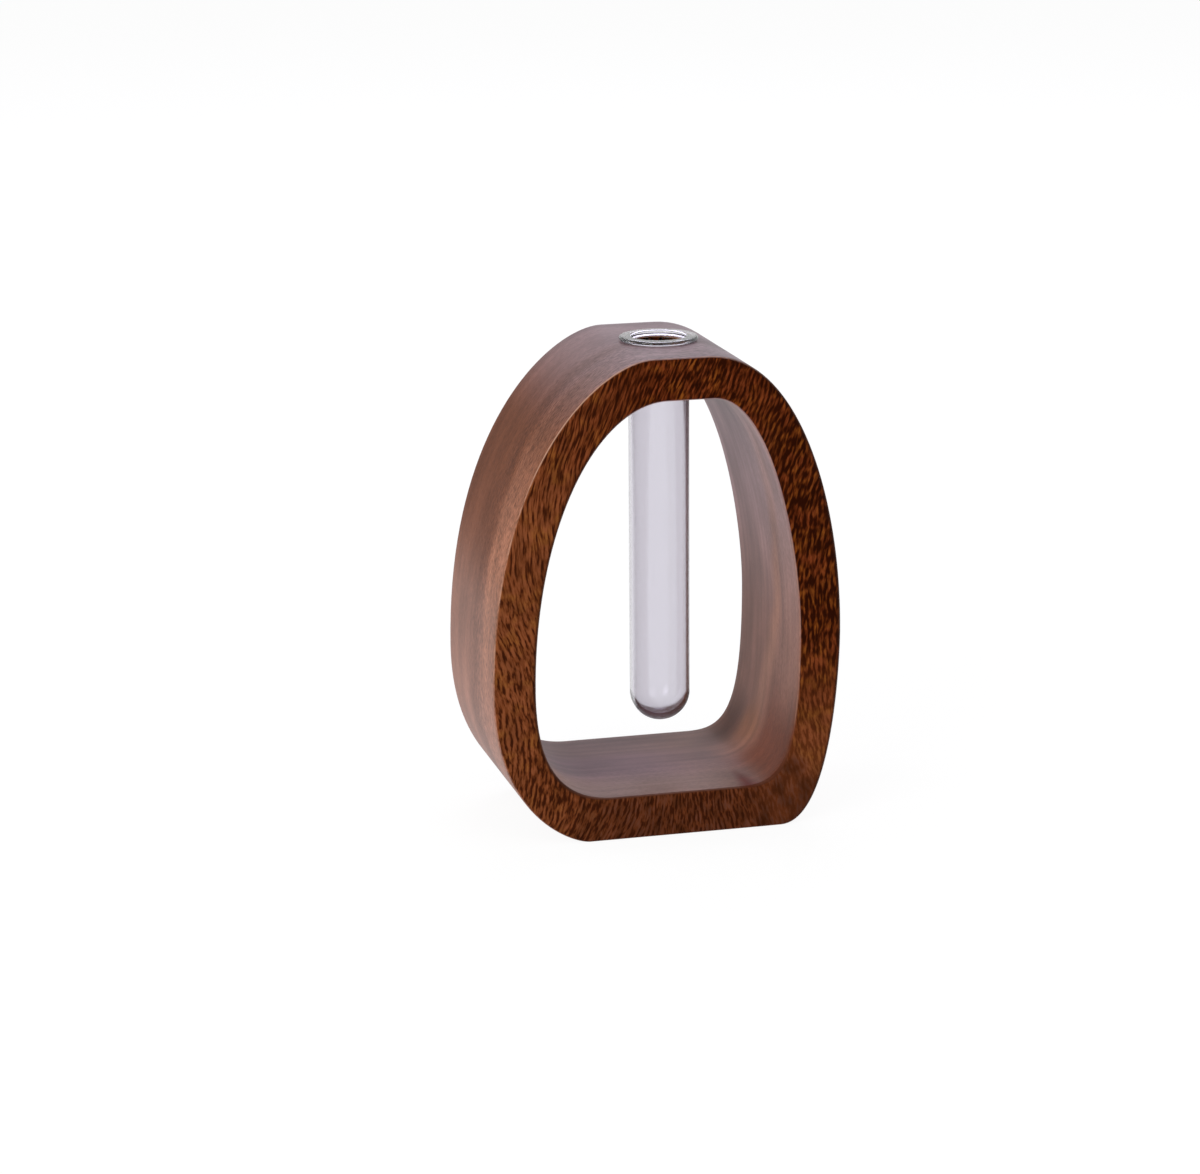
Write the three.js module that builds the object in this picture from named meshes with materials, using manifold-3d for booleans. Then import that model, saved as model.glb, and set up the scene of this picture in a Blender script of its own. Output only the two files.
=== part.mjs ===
// A small bud vase: a hoop-shaped block of dark flecked hardwood with a hole down through its crown,
// and a glass test tube that drops into that hole and hangs there by its flared lip.
//
// Millimetres, +X to the right, +Y to the back, +Z up.
// The origin lies on the table, under the middle of the hoop's width and depth.

import * as THREE from 'three';
import { mergeVertices } from 'three/addons/utils/BufferGeometryUtils.js';
import Module from 'manifold-3d';

// The wooden hoop's overall size
const FRAME_WIDTH = 70;
const FRAME_DEPTH = 40;
const FRAME_HEIGHT = 95;

// The wood left round the window
const SIDE_WALL = 8.5;
const CROWN_WALL = 8.3;
const BASE_WALL = 8.7;

// The outline's flat base, and the window's flat floor, measured from the middle of the width
const BASE_REACH_LEFT = 16;
const BASE_REACH_RIGHT = 23;
const FLOOR_REACH_LEFT = 11;
const FLOOR_REACH_RIGHT = 14.5;

// The crown's flat, which carries the tube, and the window's flat ceiling under it, both measured
// from the tube's axis
const CROWN_REACH_LEFT = 6.5;
const CROWN_REACH_RIGHT = 4.5;
const CEILING_REACH_LEFT = 3.5;
const CEILING_REACH_RIGHT = 5.5;

// How high the hoop is at its widest, which the two sides don't share
const LEFT_BULGE_HEIGHT = 31;
const RIGHT_BULGE_HEIGHT = 39;

// The eased edge between the flat faces and the rounded surfaces
const EDGE_RADIUS = 0.6;

// Where the hole stands, and how it fits the tube
const TUBE_OFFSET = 3.5;
const BORE_CLEARANCE = 0.4;
const BORE_CHAMFER = 0.6;

// The glass tube
const TUBE_DIAMETER = 12;
const GLASS_WALL = 0.6;
const GLASS_BOTTOM = 1;
const LIP_DIAMETER = 15.5;
const LIP_THICKNESS = 0.9;
const LIP_FILLET = 0.6;
const MOUTH_FLARE = 0.3;
const AIR_UNDER_TUBE = 9.3;

// How far the hole's cutter runs past the wood, and how finely curves are divided
const CUTTER_OVERRUN = 2;
const CURVE_STEPS = 18;
const EDGE_STEPS = 3;
const TURN_STEPS = 40;
const ROUND_BOTTOM_STEPS = 8;
const SMALL_ARC_STEPS = 4;

// How full each quarter of an outline is: the share of the way that the curve keeps to its level
// tangent at the flat, and to its upright tangent at the bulge, before it turns
const HOOP_CURVES = {
  rightHeel: { level: 0.90, upright: 0.16 },
  rightShoulder: { level: 0.68, upright: 0.46 },
  leftShoulder: { level: 0.30, upright: 0.73 },
  leftHeel: { level: 0.20, upright: 0.79 },
};
const WINDOW_CURVES = {
  rightHeel: { level: 0.65, upright: 0.92 },
  rightShoulder: { level: 0.66, upright: 0.34 },
  leftShoulder: { level: 0.53, upright: 0.58 },
  leftHeel: { level: 0.53, upright: 0.82 },
};

const wasm = await Module();
wasm.setup();

// A quarter from a flat's end to a bulge, leaving the flat level and reaching the bulge upright
function curveToBulge(path, flat, bulge, fullness) {
  path.bezierCurveTo(
    flat.x + (bulge.x - flat.x) * fullness.level, flat.y,
    bulge.x, bulge.y + (flat.y - bulge.y) * fullness.upright,
    bulge.x, bulge.y,
  );
}

// The same quarter drawn the other way, from a bulge to a flat's end
function curveToFlat(path, bulge, flat, fullness) {
  path.bezierCurveTo(
    bulge.x, bulge.y + (flat.y - bulge.y) * fullness.upright,
    flat.x + (bulge.x - flat.x) * fullness.level, flat.y,
    flat.x, flat.y,
  );
}

// A closed outline seen from the front: a bottom flat, a top flat and four free quarters
function drawOutline(path, outline, curves) {
  const { bottomLeft, bottomRight, rightBulge, topRight, topLeft, leftBulge } = outline;
  path.moveTo(bottomLeft.x, bottomLeft.y);
  path.lineTo(bottomRight.x, bottomRight.y);
  curveToBulge(path, bottomRight, rightBulge, curves.rightHeel);
  curveToFlat(path, rightBulge, topRight, curves.rightShoulder);
  path.lineTo(topLeft.x, topLeft.y);
  curveToBulge(path, topLeft, leftBulge, curves.leftShoulder);
  curveToFlat(path, leftBulge, bottomLeft, curves.leftHeel);
  return path;
}

function hoopOutline() {
  return {
    bottomLeft: new THREE.Vector2(-BASE_REACH_LEFT, 0),
    bottomRight: new THREE.Vector2(BASE_REACH_RIGHT, 0),
    rightBulge: new THREE.Vector2(FRAME_WIDTH / 2, RIGHT_BULGE_HEIGHT),
    topRight: new THREE.Vector2(TUBE_OFFSET + CROWN_REACH_RIGHT, FRAME_HEIGHT),
    topLeft: new THREE.Vector2(TUBE_OFFSET - CROWN_REACH_LEFT, FRAME_HEIGHT),
    leftBulge: new THREE.Vector2(-FRAME_WIDTH / 2, LEFT_BULGE_HEIGHT),
  };
}

function windowOutline() {
  const ceiling = FRAME_HEIGHT - CROWN_WALL;
  return {
    bottomLeft: new THREE.Vector2(-FLOOR_REACH_LEFT, BASE_WALL),
    bottomRight: new THREE.Vector2(FLOOR_REACH_RIGHT, BASE_WALL),
    rightBulge: new THREE.Vector2(FRAME_WIDTH / 2 - SIDE_WALL, RIGHT_BULGE_HEIGHT),
    topRight: new THREE.Vector2(TUBE_OFFSET + CEILING_REACH_RIGHT, ceiling),
    topLeft: new THREE.Vector2(TUBE_OFFSET - CEILING_REACH_LEFT, ceiling),
    leftBulge: new THREE.Vector2(-FRAME_WIDTH / 2 + SIDE_WALL, LEFT_BULGE_HEIGHT),
  };
}

// A profile of radius and height, turned round the tube's upright axis
function turned(profile) {
  const geometry = new THREE.LatheGeometry(profile, TURN_STEPS);
  geometry.rotateX(Math.PI / 2);
  geometry.translate(TUBE_OFFSET, 0, 0);
  return geometry;
}

// The points of an arc, with its angles in degrees from the +radius direction
function arc(centreRadius, centreHeight, radius, fromAngle, toAngle, steps) {
  const points = [];
  for (let step = 0; step <= steps; step += 1) {
    const angle = THREE.MathUtils.degToRad(fromAngle + (toAngle - fromAngle) * step / steps);
    points.push(new THREE.Vector2(
      centreRadius + radius * Math.cos(angle),
      centreHeight + radius * Math.sin(angle),
    ));
  }
  return points;
}

function toSolid(geometry) {
  geometry.deleteAttribute('normal');
  geometry.deleteAttribute('uv');
  const merged = mergeVertices(geometry);
  return new wasm.Manifold(new wasm.Mesh({
    numProp: 3,
    vertProperties: new Float32Array(merged.getAttribute('position').array),
    triVerts: new Uint32Array(merged.getIndex().array),
  }));
}

function toGeometry(solid) {
  const mesh = solid.getMesh();
  const geometry = new THREE.BufferGeometry();
  geometry.setAttribute('position', new THREE.BufferAttribute(mesh.vertProperties, 3));
  geometry.setIndex(new THREE.BufferAttribute(mesh.triVerts, 1));
  geometry.computeVertexNormals();
  return geometry;
}

// The hoop: one block of wood, its outline and window cut straight through from front to back,
// every edge of the two faces eased
function hoopBlock() {
  const shape = drawOutline(new THREE.Shape(), hoopOutline(), HOOP_CURVES);
  shape.holes.push(drawOutline(new THREE.Path(), windowOutline(), WINDOW_CURVES));
  const geometry = new THREE.ExtrudeGeometry(shape, {
    depth: FRAME_DEPTH - 2 * EDGE_RADIUS,
    curveSegments: CURVE_STEPS,
    bevelEnabled: true,
    bevelThickness: EDGE_RADIUS,
    bevelSize: EDGE_RADIUS,
    bevelOffset: -EDGE_RADIUS,
    bevelSegments: EDGE_STEPS,
  });
  geometry.rotateX(Math.PI / 2);
  geometry.translate(0, FRAME_DEPTH / 2 - EDGE_RADIUS, 0);
  return geometry;
}

// The hole through the crown, with a chamfer at its mouth that clears the fillet under the tube's lip
function boreCutter() {
  const radius = TUBE_DIAMETER / 2 + BORE_CLEARANCE;
  const bottom = FRAME_HEIGHT - CROWN_WALL - CUTTER_OVERRUN;
  const top = FRAME_HEIGHT + CUTTER_OVERRUN;
  return turned([
    new THREE.Vector2(0, bottom),
    new THREE.Vector2(radius, bottom),
    new THREE.Vector2(radius, FRAME_HEIGHT - BORE_CHAMFER),
    new THREE.Vector2(radius + BORE_CHAMFER, FRAME_HEIGHT),
    new THREE.Vector2(radius + BORE_CHAMFER, top),
    new THREE.Vector2(0, top),
  ]);
}

// The tube's section from the outside of its round bottom, up the wall, round the lip that rests
// on the crown, down the inside and back to the axis
function tubeProfile() {
  const outer = TUBE_DIAMETER / 2;
  const inner = outer - GLASS_WALL;
  const bottom = BASE_WALL + AIR_UNDER_TUBE;
  const lipTop = FRAME_HEIGHT + LIP_THICKNESS;
  const lipEdge = LIP_THICKNESS / 2;
  const innerBottom = bottom + GLASS_BOTTOM;
  return [
    ...arc(0, bottom + outer, outer, -90, 0, ROUND_BOTTOM_STEPS),
    ...arc(outer + LIP_FILLET, FRAME_HEIGHT - LIP_FILLET, LIP_FILLET, 180, 90, SMALL_ARC_STEPS),
    ...arc(LIP_DIAMETER / 2 - lipEdge, FRAME_HEIGHT + lipEdge, lipEdge, -90, 90, 2 * SMALL_ARC_STEPS),
    ...arc(inner + MOUTH_FLARE, lipTop - MOUTH_FLARE, MOUTH_FLARE, 90, 180, SMALL_ARC_STEPS),
    ...arc(0, innerBottom + inner, inner, 0, -90, ROUND_BOTTOM_STEPS),
  ];
}

function woodenFrame() {
  const solid = toSolid(hoopBlock()).subtract(toSolid(boreCutter()));
  const wood = new THREE.MeshStandardMaterial({ color: 0x6b3a20, roughness: 0.5, metalness: 0 });
  const mesh = new THREE.Mesh(toGeometry(solid), wood);
  mesh.name = 'wooden_frame';
  return mesh;
}

function glassTube() {
  const glass = new THREE.MeshStandardMaterial({
    color: 0xdedce2,
    roughness: 0.05,
    metalness: 0,
    transparent: true,
    opacity: 0.5,
  });
  const mesh = new THREE.Mesh(turned(tubeProfile()), glass);
  mesh.name = 'glass_tube';
  return mesh;
}

const vase = new THREE.Group();
vase.add(woodenFrame(), glassTube());

export default vase;
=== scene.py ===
# %% [markdown]
# # A bud vase: a hoop of dark flecked wood with a glass test tube
#
# The real object is two pieces. One block of oiled tropical hardwood is sawn and sanded into a
# lopsided hoop, flat on its base and on its crown, and a hole is drilled down through the crown.
# A laboratory test tube drops into the hole and hangs there by its flared lip.
#
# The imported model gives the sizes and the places, in metres, with +Z up and the front towards -Y.
# Everything here is built round it in the same frame.

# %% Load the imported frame
import math

import bpy
from mathutils import Matrix, Vector


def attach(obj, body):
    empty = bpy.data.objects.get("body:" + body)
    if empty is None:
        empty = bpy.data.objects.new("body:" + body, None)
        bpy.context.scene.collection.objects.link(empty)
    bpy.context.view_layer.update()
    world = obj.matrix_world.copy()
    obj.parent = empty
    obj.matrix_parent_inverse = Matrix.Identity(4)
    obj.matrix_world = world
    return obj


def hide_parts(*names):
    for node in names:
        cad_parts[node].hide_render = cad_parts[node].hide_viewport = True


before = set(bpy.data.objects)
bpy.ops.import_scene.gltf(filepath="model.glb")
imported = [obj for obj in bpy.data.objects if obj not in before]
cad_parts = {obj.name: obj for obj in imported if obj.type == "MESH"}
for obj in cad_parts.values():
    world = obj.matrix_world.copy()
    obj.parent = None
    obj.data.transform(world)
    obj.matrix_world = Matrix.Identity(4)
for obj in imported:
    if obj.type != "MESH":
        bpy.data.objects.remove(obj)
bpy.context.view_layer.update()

# %% [markdown]
# ## Units and small helpers
#
# Drawings of such a piece are in millimetres, so sizes are written in millimetres here and turned
# to metres once. Colours are written as the hex values that a colour picker shows, and one function
# turns them to the linear values that the shaders want.

# %% Helpers for sizes, colours, nodes and selection
MM = 0.001


def mm_point(x, y, z):
    return Vector((x, y, z)) * MM


def linear(hex_colour):
    channels = [int(hex_colour[i : i + 2], 16) / 255 for i in (1, 3, 5)]
    return [c / 12.92 if c <= 0.04045 else ((c + 0.055) / 1.055) ** 2.4 for c in channels] + [1.0]


def add_node(tree, kind, inputs=(), **settings):
    """Adds a node. Its inputs, by place or by name, are values, or nodes and outputs to link."""
    node = tree.nodes.new("ShaderNode" + kind)
    for name, value in settings.items():
        setattr(node, name, value)
    for socket, value in inputs.items() if isinstance(inputs, dict) else enumerate(inputs):
        if isinstance(value, bpy.types.Node):
            value = value.outputs[0]
        if isinstance(value, bpy.types.NodeSocket):
            tree.links.new(value, node.inputs[socket])
        else:
            node.inputs[socket].default_value = value
    return node


def new_tree(owner):
    """Gives the empty node tree of a new material or world."""
    owner.use_nodes = True
    owner.node_tree.nodes.clear()
    return owner.node_tree


def only(*objects):
    """Selects these objects and nothing else. The first is the active one."""
    bpy.ops.object.select_all(action="DESELECT")
    for obj in objects:
        obj.select_set(True)
    bpy.context.view_layer.objects.active = objects[0]


def apply_modifiers(obj):
    only(obj)
    for modifier in list(obj.modifiers):
        bpy.ops.object.modifier_apply(modifier=modifier.name)


print("a middle grey of #808080 is", round(linear("#808080")[0], 3), "in linear light")

# %% [markdown]
# ## The camera
#
# The camera comes first, because every look is judged through it. It stands about 0.7 m away, a
# little to the left and above, with a long lens, so the hoop's depth is only lightly foreshortened.
# Its place was worked out from the object's edges and its real width and depth.

# %% Place the camera
CAMERA_AZIMUTH = math.radians(-14.42)
CAMERA_ELEVATION = math.radians(14.47)
CAMERA_ROLL = math.radians(-0.46)
CAMERA_DISTANCE = 695.8 * MM
CAMERA_TARGET = mm_point(-8.68, 0, 46.03)
LENS = 105.54
SENSOR = 36

away = Vector(
    (
        math.sin(CAMERA_AZIMUTH) * math.cos(CAMERA_ELEVATION),
        -math.cos(CAMERA_AZIMUTH) * math.cos(CAMERA_ELEVATION),
        math.sin(CAMERA_ELEVATION),
    )
)
unrolled_right = Vector((0, 0, 1)).cross(away).normalized()
unrolled_up = away.cross(unrolled_right)
right = unrolled_right * math.cos(CAMERA_ROLL) + unrolled_up * math.sin(CAMERA_ROLL)
up = away.cross(right)

bpy.ops.object.camera_add()
camera = bpy.context.object
camera.name = "camera"
turn = Matrix((right, up, away)).transposed().to_4x4()
camera.matrix_world = Matrix.Translation(CAMERA_TARGET + away * CAMERA_DISTANCE) @ turn
camera.data.lens = LENS
camera.data.sensor_width = SENSOR
camera.data.sensor_fit = "HORIZONTAL"
camera.data.clip_start = 0.01
bpy.context.scene.camera = camera
print("camera at", [round(v, 3) for v in camera.location])

# %% [markdown]
# ## The hoop's outlines
#
# Both outlines are free curves, drawn by eye by the maker: a flat at the bottom, a flat at the top
# and four quarters that swell to a bulge on each side. A Bezier curve says that with six points,
# and its handles say how full each quarter is. A sculpted mesh could hold the shape too, but the
# curve keeps it smooth at any number of points.

# %% Sizes of the hoop, in millimetres
FRAME_WIDTH = 70
FRAME_DEPTH = 40
FRAME_HEIGHT = 95
SIDE_WALL = 8.5
CROWN_WALL = 8.3
BASE_WALL = 8.7
BASE_REACH_LEFT, BASE_REACH_RIGHT = 16, 23
FLOOR_REACH_LEFT, FLOOR_REACH_RIGHT = 11, 14.5
CROWN_REACH_LEFT, CROWN_REACH_RIGHT = 6.5, 4.5
CEILING_REACH_LEFT, CEILING_REACH_RIGHT = 3.5, 5.5
LEFT_BULGE_HEIGHT, RIGHT_BULGE_HEIGHT = 31, 39
TUBE_OFFSET = 3.5
FRONT = -FRAME_DEPTH / 2

HOOP_POINTS = {
    "bottom": (-BASE_REACH_LEFT, BASE_REACH_RIGHT, 0),
    "top": (TUBE_OFFSET - CROWN_REACH_LEFT, TUBE_OFFSET + CROWN_REACH_RIGHT, FRAME_HEIGHT),
    "sides": (-FRAME_WIDTH / 2, FRAME_WIDTH / 2),
}
WINDOW_POINTS = {
    "bottom": (-FLOOR_REACH_LEFT, FLOOR_REACH_RIGHT, BASE_WALL),
    "top": (
        TUBE_OFFSET - CEILING_REACH_LEFT,
        TUBE_OFFSET + CEILING_REACH_RIGHT,
        FRAME_HEIGHT - CROWN_WALL,
    ),
    "sides": (SIDE_WALL - FRAME_WIDTH / 2, FRAME_WIDTH / 2 - SIDE_WALL),
}

# Fullness of each quarter: the share of the way kept level at the flat, and upright at the bulge
HOOP_CURVES = {
    "right_heel": (0.90, 0.16),
    "right_shoulder": (0.68, 0.46),
    "left_shoulder": (0.30, 0.73),
    "left_heel": (0.20, 0.79),
}
WINDOW_CURVES = {
    "right_heel": (0.65, 0.92),
    "right_shoulder": (0.66, 0.34),
    "left_shoulder": (0.53, 0.58),
    "left_heel": (0.53, 0.82),
}
print("the window is", FRAME_HEIGHT - CROWN_WALL - BASE_WALL, "mm high")

# %% How the six points are joined: by two flats and four quarters
QUARTERS = [
    # The flat's end, the bulge, the quarter, and whether the curve runs towards the flat
    (1, 2, "right_heel", False),
    (3, 2, "right_shoulder", True),
    (4, 5, "left_shoulder", False),
    (0, 5, "left_heel", True),
]
FLATS = [(0, 1), (3, 4)]
FLAT_SHARE = 1 / 3


def handle_towards(start, end, share, level):
    """The end of a handle that leaves start, level or upright, for a share of the way to end."""
    step = end - start
    step = Vector((step.x, 0, 0)) if level else Vector((0, 0, step.z))
    return (start + step * share) * MM


def set_handles(points, corners, curves):
    for flat, bulge, quarter, towards_flat in QUARTERS:
        level_share, upright_share = curves[quarter]
        level_handle = handle_towards(corners[flat], corners[bulge], level_share, True)
        upright_handle = handle_towards(corners[bulge], corners[flat], upright_share, False)
        if towards_flat:
            points[flat].handle_left = level_handle
            points[bulge].handle_right = upright_handle
        else:
            points[flat].handle_right = level_handle
            points[bulge].handle_left = upright_handle
    for start, end in FLATS:
        points[start].handle_right = handle_towards(corners[start], corners[end], FLAT_SHARE, True)
        points[end].handle_left = handle_towards(corners[end], corners[start], FLAT_SHARE, True)


print("an outline has", len(QUARTERS), "quarters and", len(FLATS), "flats")

# %% Draw each outline as a closed curve and turn it into a loop of edges
OUTLINE_STEPS = 40


def draw_outline(name, outline_points, curves):
    bottom_left, bottom_right, bottom = outline_points["bottom"]
    top_left, top_right, top = outline_points["top"]
    left, right_side = outline_points["sides"]
    corners = [
        Vector((bottom_left, FRONT, bottom)),
        Vector((bottom_right, FRONT, bottom)),
        Vector((right_side, FRONT, RIGHT_BULGE_HEIGHT)),
        Vector((top_right, FRONT, top)),
        Vector((top_left, FRONT, top)),
        Vector((left, FRONT, LEFT_BULGE_HEIGHT)),
    ]
    bpy.ops.curve.primitive_bezier_curve_add()
    outline = bpy.context.object
    outline.name = name
    outline.data.resolution_u = OUTLINE_STEPS
    spline = outline.data.splines[0]
    spline.bezier_points.add(len(corners) - len(spline.bezier_points))
    spline.use_cyclic_u = True
    for point, corner in zip(spline.bezier_points, corners):
        point.handle_left_type = "FREE"
        point.handle_right_type = "FREE"
        point.co = corner * MM
    set_handles(spline.bezier_points, corners, curves)
    only(outline)
    bpy.ops.object.convert(target="MESH")
    outline = bpy.context.object
    print(name, "has", len(outline.data.vertices), "points")
    return outline


hoop_block = draw_outline("hoop_block", HOOP_POINTS, HOOP_CURVES)
window_loop = draw_outline("window_loop", WINDOW_POINTS, WINDOW_CURVES)

# %% [markdown]
# ## The block
#
# The two loops are bridged into the front face, and the face is pulled back through the depth, just
# as the saw cuts straight through the block. The walls are then divided along the depth, so that
# the eased edges have something even to run into. A boolean of two extruded solids would give the
# same shape with long, uneven faces.

# %% Bridge the loops, pull the face back and divide the walls
FACE_CUTS = 5
WALL_CUTS = 15

only(hoop_block, window_loop)
bpy.ops.object.join()
bpy.ops.object.mode_set(mode="EDIT")
bpy.ops.mesh.select_mode(type="EDGE")
bpy.ops.mesh.select_all(action="SELECT")
bpy.ops.mesh.bridge_edge_loops(number_cuts=FACE_CUTS, interpolation="LINEAR")
bpy.ops.mesh.select_all(action="SELECT")
bpy.ops.mesh.extrude_region_move(TRANSFORM_OT_translate={"value": (0, FRAME_DEPTH * MM, 0)})
bpy.ops.mesh.select_all(action="SELECT")
bpy.ops.mesh.normals_make_consistent(inside=False)
bpy.ops.mesh.select_all(action="DESELECT")
bpy.ops.object.mode_set(mode="OBJECT")

mesh = hoop_block.data
for edge in mesh.edges:
    start, end = (mesh.vertices[i].co for i in edge.vertices)
    edge.select = abs(end.y - start.y) > FRAME_DEPTH * MM / 2
bpy.ops.object.mode_set(mode="EDIT")
bpy.ops.mesh.subdivide(number_cuts=WALL_CUTS)
bpy.ops.object.mode_set(mode="OBJECT")
print("hoop_block has", len(hoop_block.data.polygons), "faces")

# %% [markdown]
# ## The eased edges
#
# The sharp edges of the two faces are taken off by hand with fine paper, so the round over isn't
# quite even: it is a bit heavier at the inside of the right heel, where the paper turns the corner,
# and along the edges that turn to the right. A bevel whose width is weighted along the edge does
# that. The weight is the share of the widest round over.

# %% Weight the sharp edges and round them over
EDGE_RADIUS = 0.6
EDGE_SEGMENTS = 5
WORN_RADIUS = 1.1
WORN_SPOT = mm_point(21, FRONT, 12)
WORN_REACH = 9 * MM
SHARP = 0.5

mesh = hoop_block.data
face_normals = {}
for polygon in mesh.polygons:
    for key in polygon.edge_keys:
        face_normals.setdefault(key, []).append(polygon.normal)
weights = mesh.attributes.new("bevel_weight_edge", "FLOAT", "EDGE")
for edge in mesh.edges:
    normals = face_normals[tuple(sorted(edge.vertices))]
    if len(normals) == 2 and normals[0].dot(normals[1]) < SHARP:
        middle = (mesh.vertices[edge.vertices[0]].co + mesh.vertices[edge.vertices[1]].co) / 2
        near = max(0, 1 - (middle - WORN_SPOT).length / WORN_REACH)
        wall_normal = min(normals, key=lambda normal: abs(normal.y))
        share = max(near * near * (3 - 2 * near), wall_normal.x)
        radius = EDGE_RADIUS + (WORN_RADIUS - EDGE_RADIUS) * share
        weights.data[edge.index].value = radius / WORN_RADIUS
bevel = hoop_block.modifiers.new("eased edges", "BEVEL")
bevel.limit_method = "WEIGHT"
bevel.width = WORN_RADIUS * MM
bevel.segments = EDGE_SEGMENTS
apply_modifiers(hoop_block)
print("hoop_block has", len(hoop_block.data.polygons), "faces after easing")

# %% [markdown]
# ## The hole in the crown
#
# The hole is drilled after the block is shaped, and its mouth is broken with a countersink, so the
# lip's fillet has room. One boolean takes a cylinder out of the wood and another takes a cone, as
# the drill and the countersink do.

# %% Make the drill and the countersink
TUBE_RADIUS = 6
BORE_CLEARANCE = 0.4
BORE_CHAMFER = 0.6
OVERRUN = 2
ROUND_STEPS = 96

bore_radius = TUBE_RADIUS + BORE_CLEARANCE
bore_bottom = FRAME_HEIGHT - CROWN_WALL - OVERRUN
bore_top = FRAME_HEIGHT + OVERRUN
bpy.ops.mesh.primitive_cylinder_add(
    vertices=ROUND_STEPS,
    radius=bore_radius * MM,
    depth=(bore_top - bore_bottom) * MM,
    location=mm_point(TUBE_OFFSET, 0, (bore_top + bore_bottom) / 2),
)
drill = bpy.context.object
bpy.ops.mesh.primitive_cone_add(
    vertices=ROUND_STEPS,
    radius1=bore_radius * MM,
    radius2=(bore_radius + BORE_CHAMFER + OVERRUN) * MM,
    depth=(BORE_CHAMFER + OVERRUN) * MM,
    location=mm_point(TUBE_OFFSET, 0, FRAME_HEIGHT + (OVERRUN - BORE_CHAMFER) / 2),
)
countersink = bpy.context.object
print("the drill is", 2 * bore_radius, "mm wide")

# %% Cut the hole with both
SMOOTH_WOOD = math.radians(40)

for cutter in (drill, countersink):
    cut = hoop_block.modifiers.new("cut", "BOOLEAN")
    cut.operation = "DIFFERENCE"
    cut.solver = "EXACT"
    cut.object = cutter
apply_modifiers(hoop_block)
for cutter in (drill, countersink):
    bpy.data.objects.remove(cutter)
only(hoop_block)
bpy.ops.object.shade_smooth_by_angle(angle=SMOOTH_WOOD)
print("hoop_block has", len(hoop_block.data.polygons), "faces with its hole")

# %% [markdown]
# ## The test tube
#
# A test tube is drawn on a lathe: the round bottom is blown, the wall is straight and the lip is
# rolled outwards in the flame. So it is turned here too: one profile of outer wall, lip and inner
# wall is spun round the axis. The glass has a real thickness, a bit more at the bottom, because the
# dark bands at its edges come from light that crosses the wall at a slant.

# %% Sizes of the tube and its profile, from the outside of its bottom to the inside of it
GLASS_WALL = 0.6
GLASS_BOTTOM = 1
LIP_RADIUS = 7.75
LIP_THICKNESS = 0.9
LIP_FILLET = 0.6
MOUTH_FLARE = 0.3
AIR_UNDER_TUBE = 9.3
ROUND_BOTTOM_STEPS = 24
FILLET_STEPS = 8
LIP_STEPS = 12


def arc(centre_radius, centre_height, radius, start, end, steps):
    """Points of an arc in the profile, with its angles in degrees from straight out."""
    points = []
    for step in range(steps + 1):
        angle = math.radians(start + (end - start) * step / steps)
        out, up = radius * math.cos(angle), radius * math.sin(angle)
        points.append((centre_radius + out, centre_height + up))
    return points


bore_of_tube = TUBE_RADIUS - GLASS_WALL
bottom_centre = BASE_WALL + AIR_UNDER_TUBE + TUBE_RADIUS
inner_centre = BASE_WALL + AIR_UNDER_TUBE + GLASS_BOTTOM + bore_of_tube
fillet_centre = FRAME_HEIGHT - LIP_FILLET
lip_edge = LIP_THICKNESS / 2
flare_centre = FRAME_HEIGHT + LIP_THICKNESS - MOUTH_FLARE
profile = [
    *arc(0, bottom_centre, TUBE_RADIUS, -90, 0, ROUND_BOTTOM_STEPS),
    *arc(TUBE_RADIUS + LIP_FILLET, fillet_centre, LIP_FILLET, 180, 90, FILLET_STEPS),
    *arc(LIP_RADIUS - lip_edge, FRAME_HEIGHT + lip_edge, lip_edge, -90, 90, LIP_STEPS),
    *arc(bore_of_tube + MOUTH_FLARE, flare_centre, MOUTH_FLARE, 90, 180, FILLET_STEPS),
    *arc(0, inner_centre, bore_of_tube, 0, -90, ROUND_BOTTOM_STEPS),
]
print("the profile has", len(profile), "points")

# %% Spin the profile round the tube's axis
MERGE_DISTANCE = 0.01 * MM
SMOOTH_GLASS = math.radians(50)

profile_mesh = bpy.data.meshes.new("test_tube")
profile_mesh.from_pydata(
    [mm_point(TUBE_OFFSET + radius, 0, height) for radius, height in profile],
    [(i, i + 1) for i in range(len(profile) - 1)],
    [],
)
test_tube = bpy.data.objects.new("test_tube", profile_mesh)
bpy.context.collection.objects.link(test_tube)
only(test_tube)
bpy.ops.object.mode_set(mode="EDIT")
bpy.ops.mesh.select_all(action="SELECT")
bpy.ops.mesh.spin(
    steps=ROUND_STEPS,
    angle=math.tau,
    center=mm_point(TUBE_OFFSET, 0, 0),
    axis=(0, 0, 1),
)
bpy.ops.mesh.select_all(action="SELECT")
bpy.ops.mesh.remove_doubles(threshold=MERGE_DISTANCE)
bpy.ops.mesh.normals_make_consistent(inside=False)
bpy.ops.object.mode_set(mode="OBJECT")
bpy.ops.object.shade_smooth_by_angle(angle=SMOOTH_GLASS)
print("test_tube has", len(test_tube.data.polygons), "faces")

# %% [markdown]
# ## The wood
#
# The wood is a dark, oily tropical hardwood. The saw met its fibres nearly end on, so the two flat
# faces show them as short, near black flecks on orange brown. The rounded surfaces run along the
# fibres: they show soft bands instead, and their satin film of oil and wax picks up pale
# surroundings at a grazing angle, which turns the brown towards mauve.
#
# Every pattern is worked out in millimetres from the piece's own coordinates, so it runs right
# through the block, and the back face isn't a copy of the front. A picture of wood would need
# unwrapping and would smear on the rounded surfaces.
#
# Two kinds of node do most of the work. A Map Range that rises softly from one place to another
# marks an area, and a Mix lays a colour over the colours below it, as far as the mark goes. The
# numbers of such a mark are the two places and, where it doesn't rise from 0 to 1, its value at
# each: (44, 74, 1, 0.3) falls from 1 at 44 to 0.3 at 74. A Mix has sockets for every kind of data:
# its numbers go into 2 and 3, and its colours into 6 and 7.

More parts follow.
